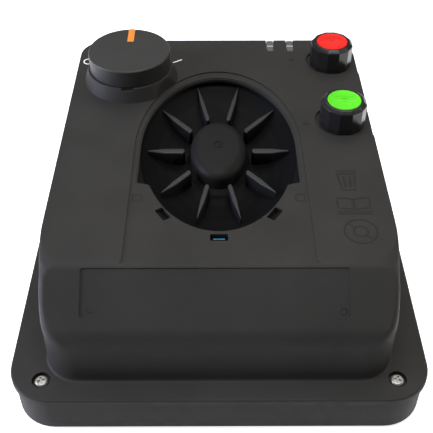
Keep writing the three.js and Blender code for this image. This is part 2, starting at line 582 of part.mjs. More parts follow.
// Wires from the two ring tags and the switch to the board.
function leads() {
  const tagZ = FACE - 13.3;
  const connectorTop = ON_BOARD + 4.5;
  const { x, fenceY, earthY } = TERMINAL;
  const fence = [[x, fenceY - 12, tagZ - 1.2], [x, fenceY - 13, tagZ - 8], [67, 64, 42],
    [65.5, 60, connectorTop + 12], [65.5, 60, connectorTop]];
  const earth = [[x, earthY - 12, tagZ - 1.2], [73, earthY - 4, tagZ - 8], [66, 48, 42],
    [60.5, 60, connectorTop + 12], [60.5, 60, connectorTop]];
  const lugZ = FACE - 14.5;
  const lugY = SWITCH.y - 9;
  const switchLead = (lugX, endX) => [[SWITCH.x + lugX, lugY, lugZ], [SWITCH.x + lugX, lugY - 1, 48],
    [endX, 66, 34], [endX, 68, ON_BOARD + 0.5]];
  return [
    piece('fence_lead', wire(fence, 1.2, 10), RED_PLASTIC),
    piece('earth_lead', wire(earth, 1.2, 10), GREEN_PLASTIC),
    piece('switch_lead_1', wire(switchLead(-8, -62), 1, 8), COMPONENT_BLACK),
    piece('switch_lead_2', wire(switchLead(8, -42), 1, 8), COMPONENT_BLACK),
  ];
}

// ---------- the whole unit ----------
const energizer = new THREE.Group();
energizer.add(
  piece('back_shell', backShell(), BLACK_PLASTIC),
  piece('housing_gasket', gasket(), RUBBER),
  piece('front_cover', frontCover(), BLACK_PLASTIC),
  groupAt(0, DISH.y, FACE, piece('ribbed_dish', ribbedDish(), DISH_PLASTIC)),
  rotarySwitch(),
  terminal('fence', TERMINAL.fenceY, RED_PLASTIC),
  terminal('earth', TERMINAL.earthY, GREEN_PLASTIC),
  ...GUIDE.xs.flatMap((x, index) => indicator(x, index + 1)),
  ...atCorners(SCREW.x, SCREW.y).map(([x, y], index) => (
    groupAt(x, y, 0, piece(`cover_screw_${index + 1}`, coverScrew(), STEEL)))),
  piece('circuit_board', circuitBoard(), BOARD_GREEN),
  ...atCorners(BOARD.screwX, BOARD.screwY).map(([x, y], index) => (
    groupAt(x, y, 0, piece(`board_screw_${index + 1}`, boardScrew(), STEEL)))),
  pulseTransformer(),
  storageCapacitor('storage_capacitor_1', 34, -72),
  storageCapacitor('storage_capacitor_2', 34, -38),
  switchingStage(),
  fuse(),
  ...boardParts(),
  supplyInlet(),
  ...leads());

export default energizer;
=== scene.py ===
import json
import math

import bmesh
import bpy
from mathutils import Matrix, Vector


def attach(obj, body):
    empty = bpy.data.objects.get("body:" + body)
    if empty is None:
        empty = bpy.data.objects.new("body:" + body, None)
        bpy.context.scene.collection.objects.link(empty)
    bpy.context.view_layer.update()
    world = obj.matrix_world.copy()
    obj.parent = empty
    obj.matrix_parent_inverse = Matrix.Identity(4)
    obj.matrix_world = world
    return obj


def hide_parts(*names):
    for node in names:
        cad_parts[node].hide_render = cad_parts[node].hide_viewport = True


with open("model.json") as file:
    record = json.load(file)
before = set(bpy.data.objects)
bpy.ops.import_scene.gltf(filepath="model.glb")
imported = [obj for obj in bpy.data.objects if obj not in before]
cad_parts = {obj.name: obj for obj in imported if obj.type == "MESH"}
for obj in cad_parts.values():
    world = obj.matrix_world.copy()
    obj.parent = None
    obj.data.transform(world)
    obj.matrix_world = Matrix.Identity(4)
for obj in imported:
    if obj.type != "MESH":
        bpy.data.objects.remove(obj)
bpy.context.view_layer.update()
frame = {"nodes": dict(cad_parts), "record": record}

# Fine pieces for the fence energizer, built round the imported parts.
# Lengths are millimetres on the part's own axes, and MM turns them into metres. The lights are in metres.
MM = 0.001

# ---------- sizes shared with the CAD part ----------
GAP = 0.3
WALL = 3
FACE = 74.7
FLANGE = {"x": 101, "y": 126.3, "corner": 21, "bottom": 21, "top": 25}
BODY = {"x": 85.7, "y": 114.7, "corner": 16.5, "back_top": 110.7, "lean": 0.052}
BEND_Y = -84.3
SLOPE = math.radians(38)
PANEL = {"x": 45.3, "y": 2.3, "length": 72, "flare": 2}
OPENING = {
    "x": 42, "length": 65.3, "low_x": 40.6, "low_length": 65.2,
    "step_outer": -27.6, "step_inner": -29.3,
}
LABEL = {"x": -2, "width": 124.2, "length": 22.9, "from_bend": 2.7, "depth": 0.6}
DISH_Y = 4.6
STRETCH = 1.6
DISH_RIM_R = 46.8
RIB = {"count": 10, "inner": 18.2, "outer": 38.5, "shift": 3.2, "width": 2.7, "tip": 0.6, "top": -5.5}
HOOK = {"x": 3.5, "y": 0.7, "low": -4.5, "top": -1.6, "offset": 1.2}
HOOK_SLOTS = ((0, -67.6, 0), (-27.6, -51.2, -0.99), (27.6, -51.2, 0.99))
HOOK_SLOT = {"x": 4.35, "y": 2.25}
SWITCH = Vector((-52.1, 68.8, FACE))
COLLAR = {"r": 27.8, "top_r": 25, "height": 8, "hollow_r": 21.5, "bush_r": 4.7}
NOTCH = {"x": 3.5, "outer": 26, "inner": 23.6, "low": 6.6}
KNOB = {"r": 24, "bottom": 8.3, "top": 18.7, "roof": 2.5, "wall": 2}
POINTER = {"width": 3.9, "length": 14.6, "thick": 0.9}
TERMINAL_X = 69.5
TERMINAL = {
    "r": 12.8, "low": -0.9, "top": 14.1, "hollow": 11.3, "bevel": 11, "cap": 9.3, "facets": 12,
    "seat_r": 10.8, "tube_r": 5,
}
TERMINAL_Y = {"fence": 85.7, "earth": 24.4}
POCKET = {"depth": 1.3, "r": 15, "half": 13.4}
GUIDE_X = (33.4, 45.9)
GUIDE = {
    "width": 4.1, "start": 97.9, "plate": 2.6, "tail": 6.8, "stem": 3, "stem_y": 99, "stem_bottom": 28.4,
}
SCREW_AT = ((-85, -114.3), (85, -114.3), (-85, 114.3), (85, 114.3))
SCREW = {"sink_r": 4.45, "sink_depth": 2.6, "head_r": 3.3, "head_depth": 2.3, "shank_r": 1.75, "tip": 8}
SHELL = {"inset": 1, "wall": 4.5, "floor": 3, "top": 20.7}
GROOVE = {"width": 2.1, "depth": 1.9}
KEYHOLE = {"x": 60, "y": 70, "entry_r": 5.2, "neck": 2.6, "travel": 11, "lip": 2.2, "depth": 8}
INLET = {"x": 12, "z": 10.3, "low": 2.8, "high": 17.8, "wall_y": 120.3, "block_x": 16, "block_y": 114.3}
BOARD_SCREW_AT = ((-69, -89), (-69, 89), (69, -89), (69, 89))
BOARD_POST = {"r": 4, "hole_r": 1.8, "top": 15.7}

# ---------- shapes that only the fine pieces have ----------
SLOPE_FILLET = 14
SIDE_FILLET = 3.6
BEND_FILLET = 10
SIDE_CURVE = {"start": -57, "depth": 2, "spread": 350}  # the sides draw in towards the front
PLATE_CORNER = (12, 20)  # the flat face's round front corners
PANEL_DEPTH = 0.7
HUB = {"r": 15.4, "top": -1.6}
SWITCH_RING = {"from_centre": 32.7, "angle": 148.6, "r": 2.8}  # the printed O
SWITCH_TICK = {"start": 28.9, "end": 35.4, "angle": 32.5}  # the printed I

# ---------- stage: the camera and floor in millimetres and degrees, the lights in metres and watts ----------
CAMERA = {"lens": 64.39, "at": (-2.1, -328.6, 335.4), "turn": (46.5, 0, -0.188)}
FLOOR = {"reach": 9000, "low": -20, "top": -0.6, "glow": 0.75}
WORLD = {"light": 0.13, "more_if_seen": 0.87}
LIGHTS = (
    ("top_back", (0.0, 0.75, 1.2), (0, 0.02, 0.05), (1.2, 0.7), 6, (1, 0.985, 0.96)),
    ("overhead", (0.0, -0.2, 1.4), (0, -0.05, 0.05), (0.9, 0.6), 12, (1, 0.99, 0.97)),
    ("left_cool", (-1.1, -0.15, 0.35), (0, 0, 0.05), (0.4, 0.9), 22, (0.72, 0.77, 1.0)),
    ("right_soft", (1.1, 0.1, 0.4), (0, 0, 0.05), (0.4, 1.0), 4, (1, 0.99, 0.97)),
)


# ---------- mesh helpers ----------
def mesh_object(name, points, faces):
    mesh = bpy.data.meshes.new(name)
    mesh.from_pydata([Vector(p) * MM for p in points], [], faces)
    work = bmesh.new()
    work.from_mesh(mesh)
    bmesh.ops.recalc_face_normals(work, faces=work.faces)
    work.to_mesh(mesh)
    work.free()
    obj = bpy.data.objects.new(name, mesh)
    bpy.context.scene.collection.objects.link(obj)
    return obj


def loft(name, loops, ring=False):
    """Closed loops of equal length joined in turn: capped at both ends, or the last joined to the first."""
    n = len(loops[0])
    points = [p for loop in loops for p in loop]
    faces = []
    last = len(loops) if ring else len(loops) - 1
    for k in range(last):
        a, b = k * n, (k + 1) % len(loops) * n
        faces += [(a + i, a + (i + 1) % n, b + (i + 1) % n, b + i) for i in range(n)]
    if not ring:
        faces += [tuple(range(n)), tuple(range(len(points) - n, len(points)))]
    return mesh_object(name, points, faces)


def rounded(points, closed=False, steps=4):
    """A 2-D line with arcs at its corners. A point is (u, v) or (u, v, radius)."""
    out = []
    for i, p in enumerate(points):
        here = Vector(p[:2])
        if len(p) < 3 or (not closed and i in (0, len(points) - 1)):
            out.append(here)
            continue
        to_last = Vector(points[i - 1][:2]) - here
        to_next = Vector(points[(i + 1) % len(points)][:2]) - here
        half = to_last.angle(to_next) / 2
        reach = min(p[2] / math.tan(half), 0.49 * to_last.length, 0.49 * to_next.length)
        middle = (to_last.normalized() + to_next.normalized()).normalized()
        centre = here + middle * reach / math.cos(half)
        start = here + to_last.normalized() * reach - centre
        sweep = start.angle_signed(here + to_next.normalized() * reach - centre)
        out += [centre + Matrix.Rotation(-sweep * k / steps, 2) @ start for k in range(steps + 1)]
    return out


def lathe(name, profile, at=(0, 0, 0), segments=64, stretch=1, start=0.0):
    """A profile of (radius, height) turned about Z. It ends on the axis, or is a closed ring."""
    rows, points, faces = [], [], []
    for radius, height in profile:
        count = 1 if radius < 1e-6 else segments
        rows.append([len(points) + i for i in range(count)])
        for i in range(count):
            angle = start + 2 * math.pi * i / segments
            points.append(Vector(at) + Vector(
                (radius * math.cos(angle), stretch * radius * math.sin(angle), height)))
    pairs = list(zip(rows, rows[1:]))
    if len(rows[0]) > 1:
        pairs.append((rows[-1], rows[0]))
    for a, b in pairs:
        for i in range(segments):
            j = (i + 1) % segments
            face = [a[i % len(a)], a[j % len(a)], b[j % len(b)], b[i % len(b)]]
            faces.append(tuple(dict.fromkeys(face)))
    return mesh_object(name, points, faces)


def prism(name, outline, z0, z1, place=Matrix()):
    """A closed outline of (x, y) points between two heights, then put in place by a matrix."""
    loops = [[place @ Vector((*p, z)) for p in outline] for z in (z0, z1)]
    return loft(name, loops)


def box(name, x, y, z, place=Matrix()):
    outline = ((x[0], y[0]), (x[1], y[0]), (x[1], y[1]), (x[0], y[1]))
    return prism(name, outline, z[0], z[1], place)


def disc(name, radius, z0, z1, at=(0, 0), segments=48):
    return lathe(name, ((0, z0), (radius, z0), (radius, z1), (0, z1)), (*at, 0), segments)


def arc(centre, radii, start, end, steps):
    """Points on part of an ellipse, angles in degrees."""
    out = []
    for k in range(steps + 1):
        angle = math.radians(start + (end - start) * k / steps)
        out.append((centre[0] + radii[0] * math.cos(angle), centre[1] + radii[1] * math.sin(angle)))
    return out


def settle(obj):
    """Turns an object's modifiers into plain mesh."""
    graph = bpy.context.evaluated_depsgraph_get()
    old = obj.data
    mesh = bpy.data.meshes.new_from_object(obj.evaluated_get(graph), depsgraph=graph)
    obj.modifiers.clear()
    obj.data = mesh
    bpy.data.meshes.remove(old)
    return obj


def combine(base, tools, operation):
    for tool in tools:
        mod = base.modifiers.new("combine", "BOOLEAN")
        mod.operation, mod.solver, mod.object = operation, "MANIFOLD", tool
    settle(base)
    for tool in tools:
        mesh = tool.data
        bpy.data.objects.remove(tool)
        bpy.data.meshes.remove(mesh)
    return base


def cut(base, *tools):
    return combine(base, tools, "DIFFERENCE")


def join(base, *tools):
    return combine(base, tools, "UNION")


def finish(obj, material, body, replaces=(), edge=0.3, segments=2, limit=34):
    """Small round edges, smooth shading, a material, and what the piece stands for and rides on."""
    if edge:
        bevel = obj.modifiers.new("edges", "BEVEL")
        bevel.width, bevel.segments = edge * MM, segments
        bevel.limit_method, bevel.angle_limit = "ANGLE", math.radians(limit)
        bevel.use_clamp_overlap = True
    obj.data.shade_smooth()
    normals = obj.modifiers.new("normals", "WEIGHTED_NORMAL")
    normals.keep_sharp, normals.weight = True, 60
    obj.data.materials.clear()
    obj.data.materials.append(material)
    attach(obj, body)
    if replaces:
        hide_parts(*replaces)
    return obj


# ---------- materials ----------
def new_material(name):
    material = bpy.data.materials.new(name)
    material.use_nodes = True
    tree = material.node_tree
    shader = tree.nodes["Principled BSDF"]
    return material, tree, shader


def noise_ramp(tree, source, scale, low, high, detail=2.0):
    """Noise mapped to a range between two colours or two numbers."""
    noise = tree.nodes.new("ShaderNodeTexNoise")
    noise.inputs["Scale"].default_value = scale
    noise.inputs["Detail"].default_value = detail
    tree.links.new(source, noise.inputs["Vector"])
    spread = tree.nodes.new("ShaderNodeMapRange")
    spread.inputs["From Min"].default_value = 0.3
    spread.inputs["From Max"].default_value = 0.7
    tree.links.new(noise.outputs["Fac"], spread.inputs["Value"])
    if isinstance(low, (int, float)):
        spread.inputs["To Min"].default_value = low
        spread.inputs["To Max"].default_value = high
        return spread.outputs["Result"]
    mix = tree.nodes.new("ShaderNodeMix")
    mix.data_type = "RGBA"
    tree.links.new(spread.outputs["Result"], mix.inputs["Factor"])
    mix.inputs["A"].default_value = (*low, 1)
    mix.inputs["B"].default_value = (*high, 1)
    return mix.outputs["Result"]


def moulded(name, colour, roughness, specular=0.3, grain=2600, depth=0.03, tint=0.1, metallic=0.0, coat=0.0):
    """Moulded plastic, rubber or plain metal: slow colour drift, a fine grain and uneven gloss."""
    material, tree, shader = new_material(name)
    place = tree.nodes.new("ShaderNodeTexCoord").outputs["Object"]
    low = [c * (1 - tint) for c in colour]
    high = [min(1.0, c * (1 + tint)) for c in colour]
    tree.links.new(noise_ramp(tree, place, 28, low, high), shader.inputs["Base Color"])
    rough = noise_ramp(tree, place, 160, roughness - 0.04, roughness + 0.04, 4.0)
    tree.links.new(rough, shader.inputs["Roughness"])
    height = noise_ramp(tree, place, grain, 0.0, 1.0, 3.0)
    bump = tree.nodes.new("ShaderNodeBump")
    bump.inputs["Strength"].default_value = 1.0
    bump.inputs["Distance"].default_value = depth * MM
    tree.links.new(height, bump.inputs["Height"])
    tree.links.new(bump.outputs["Normal"], shader.inputs["Normal"])
    shader.inputs["Specular IOR Level"].default_value = specular
    shader.inputs["Metallic"].default_value = metallic
    shader.inputs["Coat Weight"].default_value = coat
    return material


def frosted_painted_glow(name, colour, glow, band):
    """Frosted clear plastic with a painted glow: the plastic itself gives off light in a band across it,
    where its lamp's facets lie.
    """
    material, tree, shader = new_material(name)
    place = tree.nodes.new("ShaderNodeTexCoord").outputs["Object"]
    shade = noise_ramp(tree, place, 420, [c * 0.86 for c in colour], colour, 3.0)
    tree.links.new(shade, shader.inputs["Base Color"])
    tree.links.new(noise_ramp(tree, place, 900, 0.3, 0.5), shader.inputs["Roughness"])
    shader.inputs["Subsurface Weight"].default_value = 0.3
    shader.inputs["Subsurface Scale"].default_value = 2 * MM
    axes = tree.nodes.new("ShaderNodeSeparateXYZ")
    tree.links.new(place, axes.inputs["Vector"])
    near = tree.nodes.new("ShaderNodeMapRange")
    near.interpolation_type = "SMOOTHSTEP"
    near.inputs["From Min"].default_value = (band[0] - band[1]) * MM
    near.inputs["From Max"].default_value = band[0] * MM
    far = tree.nodes.new("ShaderNodeMapRange")
    far.interpolation_type = "SMOOTHSTEP"
    far.inputs["From Min"].default_value = (band[0] + band[1]) * MM
    far.inputs["From Max"].default_value = band[0] * MM
    both = tree.nodes.new("ShaderNodeMath")
    both.operation = "MULTIPLY"
    for at, spread in enumerate((near, far)):
        tree.links.new(axes.outputs["Y"], spread.inputs["Value"])
        tree.links.new(spread.outputs["Result"], both.inputs[at])
    # painted glow: white emission in the band, though the guide is no lamp
    shader.inputs["Emission Strength"].default_value = glow
    mix = tree.nodes.new("ShaderNodeMix")
    mix.data_type = "RGBA"
    mix.inputs["A"].default_value = (0, 0, 0, 1)
    mix.inputs["B"].default_value = (1, 1, 0.97, 1)
    tree.links.new(both.outputs["Value"], mix.inputs["Factor"])
    tree.links.new(mix.outputs["Result"], shader.inputs["Emission Color"])
    return material


HOUSING = moulded("housing", (0.03, 0.0287, 0.0262), 0.55, specular=0.15)
# painted shade: the bowl gets a far darker copy of the dish plastic, standing in for the shade deep in its
# trough
DISH_PAINTED_SHADE = moulded("dish", (0.0045, 0.0045, 0.005), 0.5, specular=0.06, depth=0.015)
# painted shade and painted light: the rib sides get a darker copy and the rib tops a lighter copy of the dish
# plastic
RIB_SIDE_PAINTED_SHADE = moulded("dish_rib_side", (0.013, 0.013, 0.014), 0.55, specular=0.1, depth=0.015)
RIB_TOP_PAINTED_LIGHT = moulded("dish_rib", (0.03, 0.03, 0.03), 0.45, specular=0.25, depth=0.015)
# painted shade: the hub gets a darker copy of the dish plastic than the rib tops
HUB_PAINTED_SHADE = moulded("dish_hub", (0.013, 0.0125, 0.012), 0.5, specular=0.1, depth=0.015)
KNOB_BLACK = moulded("knob_black", (0.03, 0.029, 0.027), 0.42, specular=0.3)
TERMINAL_BLACK = moulded("terminal_black", (0.013, 0.0125, 0.0125), 0.22, specular=0.5, depth=0.006)
ORANGE = moulded("pointer_orange", (0.76, 0.25, 0.035), 0.42, tint=0.05)
CAP_RED = moulded("cap_red", (0.8, 0.014, 0.009), 0.4, tint=0.06, depth=0.02)
CAP_GREEN = moulded("cap_green", (0.1, 0.72, 0.012), 0.4, tint=0.06, depth=0.02)
# painted glow: the guides give off light in a band across them
GUIDE_PAINTED_GLOW = frosted_painted_glow("light_guide", (0.11, 0.107, 0.097), 0.6, (103.6, 0.8))
MARK_DARK = moulded("mark_dark", (0.009, 0.009, 0.009), 0.5, tint=0.03)
# painted highlight: a bright blue strip that stands in for the light on the bottom snap hook's edge
HOOK_PAINTED_HIGHLIGHT = moulded("hook_painted_highlight_blue", (0.03, 0.35, 0.7), 0.35, tint=0.05)
MARK_WHITE = moulded("mark_white", (0.85, 0.84, 0.8), 0.5, tint=0.03)
STEEL = moulded("steel", (0.42, 0.405, 0.38), 0.42, grain=1200, depth=0.01, metallic=0.85)
BRASS = moulded("brass", (0.62, 0.43, 0.16), 0.3, grain=1200, depth=0.01, metallic=1.0)
NYLON = moulded("nylon", (0.58, 0.56, 0.48), 0.5)
RUBBER = moulded("rubber", (0.012, 0.012, 0.012), 0.75, specular=0.2, depth=0.05)
LAMP = moulded("lamp", (0.75, 0.82, 0.8), 0.15, tint=0.03, depth=0.005)
BOARD = moulded("board", (0.02, 0.12, 0.045), 0.35, tint=0.2, coat=0.3)
LAMINATION = moulded("lamination", (0.09, 0.095, 0.1), 0.45, metallic=0.7)
COPPER = moulded("copper", (0.55, 0.2, 0.08), 0.3, grain=1500, metallic=1.0)
HEAT_SINK = moulded("heat_sink", (0.42, 0.44, 0.45), 0.4, grain=1500, metallic=1.0)
BLUE = moulded("component_blue", (0.02, 0.06, 0.22), 0.35)
BLACK = moulded("component_black", (0.012, 0.012, 0.014), 0.45)

BY_SLOT = {
    "housing": HOUSING, "dish": DISH_PAINTED_SHADE, "knob_black": KNOB_BLACK, "pointer_orange": ORANGE,
    "cap_red": CAP_RED, "cap_green": CAP_GREEN, "light_guide": GUIDE_PAINTED_GLOW, "lamp": LAMP, "nylon": NYLON,
    "rubber": RUBBER, "steel": STEEL, "brass": BRASS, "board": BOARD, "lamination": LAMINATION,
    "copper": COPPER, "heat_sink": HEAT_SINK, "component_blue": BLUE, "component_black": BLACK,
}


def dress_cad_nodes():
    """Every CAD node gets the procedural material of its slot. The fine pieces then replace some."""
    for part in frame["record"]["subparts"]:
        obj = frame["nodes"][part["node"]]
        material = BY_SLOT[part["material_slot"]]
        for index in range(len(obj.material_slots)):
            obj.material_slots[index].material = material


# ---------- front cover ----------
def corner_rect(half_x, low_y, high_y, low_corner, high_corner, z, steps=10, side_steps=14):
    """A rectangle with elliptic corners of (x, y) radii at a height, anticlockwise from the right side."""
    (ax, ay), (bx, by) = low_corner, high_corner
    low_end, high_end = low_y + ay, high_y - by
    side = [low_end + (high_end - low_end) * k / side_steps for k in range(1, side_steps)]
    points = arc((half_x - bx, high_end), (bx, by), 0, 90, steps)
    points += arc((bx - half_x, high_end), (bx, by), 90, 180, steps)
    points += [(-half_x, y) for y in reversed(side)]
    points += arc((ax - half_x, low_end), (ax, ay), 180, 270, steps)
    points += arc((half_x - ax, low_end), (ax, ay), 270, 360, steps)
    points += [(half_x, y) for y in side]
    return [Vector((x, y, z)) for x, y in points]


def drawn_in(loop):
    """The cover's sides curve inwards towards the front."""
    out = []
    for p in loop:
        past = max(0.0, SIDE_CURVE["start"] - p.y)
        amount = min(SIDE_CURVE["depth"], past * past / SIDE_CURVE["spread"])
        out.append(Vector((p.x * (1 - amount / BODY["x"]), p.y, p.z)))
    return out


def front_profile(inset):
    """The front wall, its fillet and the slope up to the bend, as (y, z) points from the flange up."""
    rise = math.tan(SLOPE)
    slope_z = FACE - inset / math.cos(SLOPE)
    bend = BEND_Y + (inset / math.cos(SLOPE) - inset) / rise
    low_y = inset - BODY["y"]
    corner_z = (slope_z + rise * (low_y - BEND_Y - BODY["lean"] * FLANGE["top"])) / (1 - rise * BODY["lean"])
    corner_y = low_y + BODY["lean"] * (corner_z - FLANGE["top"])
    fillet = SLOPE_FILLET - inset
    line = [(low_y, FLANGE["top"]), (corner_y, corner_z, fillet),
            (bend, FACE - inset, BEND_FILLET), (bend + 2 * BEND_FILLET, FACE - inset)]
    return rounded(line, steps=8)[:-1]


def body_loops(inset):
    """Horizontal sections of the cover's body, from the flange's top up to the face."""
    profile = front_profile(inset)
    plan = BODY["corner"] - inset
    side = max(SIDE_FILLET - inset, 0.6)
    plate_run = 4
    wall_step = 2.5
    dense = []
    for (y0, z0), (y1, z1) in zip(profile, profile[1:]):
        parts = max(1, round((z1 - z0) / wall_step))
        dense += [(y0 + (y1 - y0) * k / parts, z0 + (z1 - z0) * k / parts) for k in range(parts)]
    dense.append(tuple(profile[-1]))
    wall_end = profile[1][1]
    loops = []
    for y, z in dense:
        # how far the front edge has come in over the round corners of the plan
        gone = y - (inset - BODY["y"] + BODY["lean"] * (min(z, wall_end) - FLANGE["top"]))
        left = min(1.0, max(0.0, 1 - gone / plan))
        arc_in = plan * (1 - math.sqrt(1 - left * left))
        ax = side + arc_in * (1 - side / plan)
        ay = side / math.sin(SLOPE) + left * (plan - side / math.sin(SLOPE))
        near_face = max(0.0, 1 - (FACE - inset - z) / plate_run) ** 2
        ax += (max(PLATE_CORNER[0] - ax, 0)) * near_face
        ay += (max(PLATE_CORNER[1] - ay, 0)) * near_face
        back_lean = (BODY["y"] - BODY["back_top"]) * (z - FLANGE["top"]) / (FACE - FLANGE["top"])
        back = BODY["y"] - inset - back_lean
        loops.append(drawn_in(corner_rect(BODY["x"] - inset, y, back, (ax, ay), (plan, plan), z)))
    return loops


def grown(loop, amount, z):
    """A loop moved outwards by an amount at a new height."""
    out = []
    for i, p in enumerate(loop):
        along = loop[(i + 1) % len(loop)] - loop[i - 1]
        normal = Vector((along.y, -along.x)).normalized()
        out.append(Vector((p.x + normal.x * amount, p.y + normal.y * amount, z)))
    return out


def flange_loop(inset, z):
    corner = FLANGE["corner"] - inset
    y = FLANGE["y"] - inset
    return corner_rect(FLANGE["x"] - inset, -y, y, (corner, corner), (corner, corner), z)


def cover_shell():
    outer, inner = body_loops(0), body_loops(WALL)
    top, bottom = FLANGE["top"], FLANGE["bottom"]
    edge, chamfer = 0.9, 0.35
    foot = 1.6
    rim = [flange_loop(chamfer, bottom), flange_loop(0, bottom + chamfer), flange_loop(0, top - edge)]
    for angle in (22.5, 45, 67.5, 90):
        a = math.radians(angle)
        rim.append(flange_loop(edge * (1 - math.cos(a)), top - edge * (1 - math.sin(a))))
    base = [grown(outer[0], foot, top)] + [
        grown(outer[0], foot * (1 - math.sin(math.radians(a))), top + foot * (1 - math.cos(math.radians(a))))
        for a in (22.5, 45, 67.5)]
    body = [loop for loop in outer if loop[0].z > top + foot]
    inside = [[Vector((p.x, p.y, bottom)) for p in inner[0]]] + inner
    return (loft("front_cover_shell", rim + base + body),
            loft("cover_hollow", [[p - Vector((0, 0, 1)) for p in inside[0]]] + inside[1:]))


def panel_outline():
    x, y, flare = PANEL["x"], PANEL["y"], PANEL["flare"]
    points = arc((0, y), (x, PANEL["length"]), 0, 180, 72)
    points += arc((-x - flare, BEND_Y + flare), (flare, flare), 0, -90, 6)
    points += [(-x - flare, BEND_Y - flare), (x + flare, BEND_Y - flare)]
    points += arc((x + flare, BEND_Y + flare), (flare, flare), 270, 180, 6)
    return points


def opening_outline(grow=0):
    y = PANEL["y"]
    low_x, low_length = OPENING["low_x"] + grow, OPENING["low_length"] + grow
    step = math.degrees(math.asin((y - OPENING["step_inner"]) / low_length))
    points = arc((0, y), (OPENING["x"] + grow, OPENING["length"] + grow), 0, 180, 72)
    points.append((-OPENING["x"] - grow, OPENING["step_outer"]))
    points += arc((0, y), (low_x, low_length), 180 + step, 360 - step, 48)
    points.append((OPENING["x"] + grow, OPENING["step_outer"]))
    return points


def slope_place(down, x=0):
    """A frame on the slope: its origin a distance below the bend, X right, Y up the slope, Z out."""
    spot = Vector((x, BEND_Y - down * math.cos(SLOPE), FACE - down * math.sin(SLOPE)))
    return Matrix.Translation(spot) @ Matrix.Rotation(SLOPE, 4, "X")


def slot_place(slot, lift=0):
    x, y, angle = slot
    return Matrix.Translation((x, y, lift)) @ Matrix.Rotation(angle, 4, "Z")


def rounded_box(name, half_x, half_y, radius, z0, z1, place=Matrix(), steps=4):
    corners = ((half_x, -half_y, radius), (half_x, half_y, radius),
               (-half_x, half_y, radius), (-half_x, -half_y, radius))
    return prism(name, rounded(corners, closed=True, steps=steps), z0, z1, place)


def terminal_pocket(y):
    low = FACE - POCKET["depth"]
    radius, half = POCKET["r"], POCKET["half"]
    angle = math.degrees(math.asin(half / radius))
    outline = arc((TERMINAL_X, y), (radius, radius), angle, 360 - angle, 48)
    outline += [(BODY["x"] + 5, y - half), (BODY["x"] + 5, y + half)]
    return prism("pocket", outline, low, FACE + 5)


def guide_slots(x):
    half = GUIDE["width"] / 2 + GAP
    back = BODY["y"] + 5
    return (
        box("guide_slot", (x - half, x + half), (GUIDE["start"] - GAP, back),
            (FACE - GUIDE["plate"] - WALL, FACE + 5)),
        box("guide_slot", (x - half, x + half), (BODY["back_top"] - WALL - 2, back),
            (FACE - GUIDE["tail"] - GAP, FACE + 5)),
    )


def build_cover():
    cover, hollow = cover_shell()
    x, y = SWITCH.x, SWITCH.y
    rooted, collar_top = FACE - 2.5, FACE + COLLAR["height"]
    collar = lathe("collar", rounded((
        (0, rooted), (COLLAR["r"], rooted), (COLLAR["r"], FACE), (COLLAR["top_r"], collar_top, 0.5),
        (0, collar_top))), (x, y, 0), 96)
    join(cover, collar)
    tools = [
        hollow,
        prism("panel", panel_outline(), FACE - PANEL_DEPTH, FACE + 20),
        prism("ledge", opening_outline(0.8), FACE - PANEL_DEPTH - 0.5, FACE + 1),
        prism("opening", opening_outline(), FACE - WALL - 1, FACE + 1),
        rounded_box("label", LABEL["width"] / 2, LABEL["length"] / 2, 1.2, -LABEL["depth"], 5,
                    slope_place(LABEL["from_bend"] + LABEL["length"] / 2, LABEL["x"])),
        disc("collar_hollow", COLLAR["hollow_r"], FACE - WALL - 1, FACE + 5, (x, y)),
        disc("bush_hole", COLLAR["bush_r"], FACE, collar_top + 1, (x, y)),
        box("notch", (x - NOTCH["x"], x + NOTCH["x"]), (y - NOTCH["outer"], y - NOTCH["inner"]),
            (FACE + NOTCH["low"], collar_top + 1)),
    ]
    tools += [rounded_box("slot", HOOK_SLOT["x"], HOOK_SLOT["y"], 0.5, FACE - WALL - 1, FACE,
                          slot_place(slot)) for slot in HOOK_SLOTS]
    for ty in TERMINAL_Y.values():
        tools += [terminal_pocket(ty),
                  disc("stud_hole", TERMINAL["tube_r"] + GAP, FACE - WALL - 1, FACE, (TERMINAL_X, ty))]
    for gx in GUIDE_X:
        tools += guide_slots(gx)
    for at in SCREW_AT:
        tools += [disc("sink", SCREW["sink_r"], FLANGE["top"] - SCREW["sink_depth"], FLANGE["top"] + 5, at),
                  disc("screw_hole", 2.1, FLANGE["bottom"] - 1, FLANGE["top"], at, 24)]
    cut(cover, *tools)
    cover.name = "front_cover_fine"
    finish(cover, HOUSING, "housing", ("front_cover",), edge=0.35)


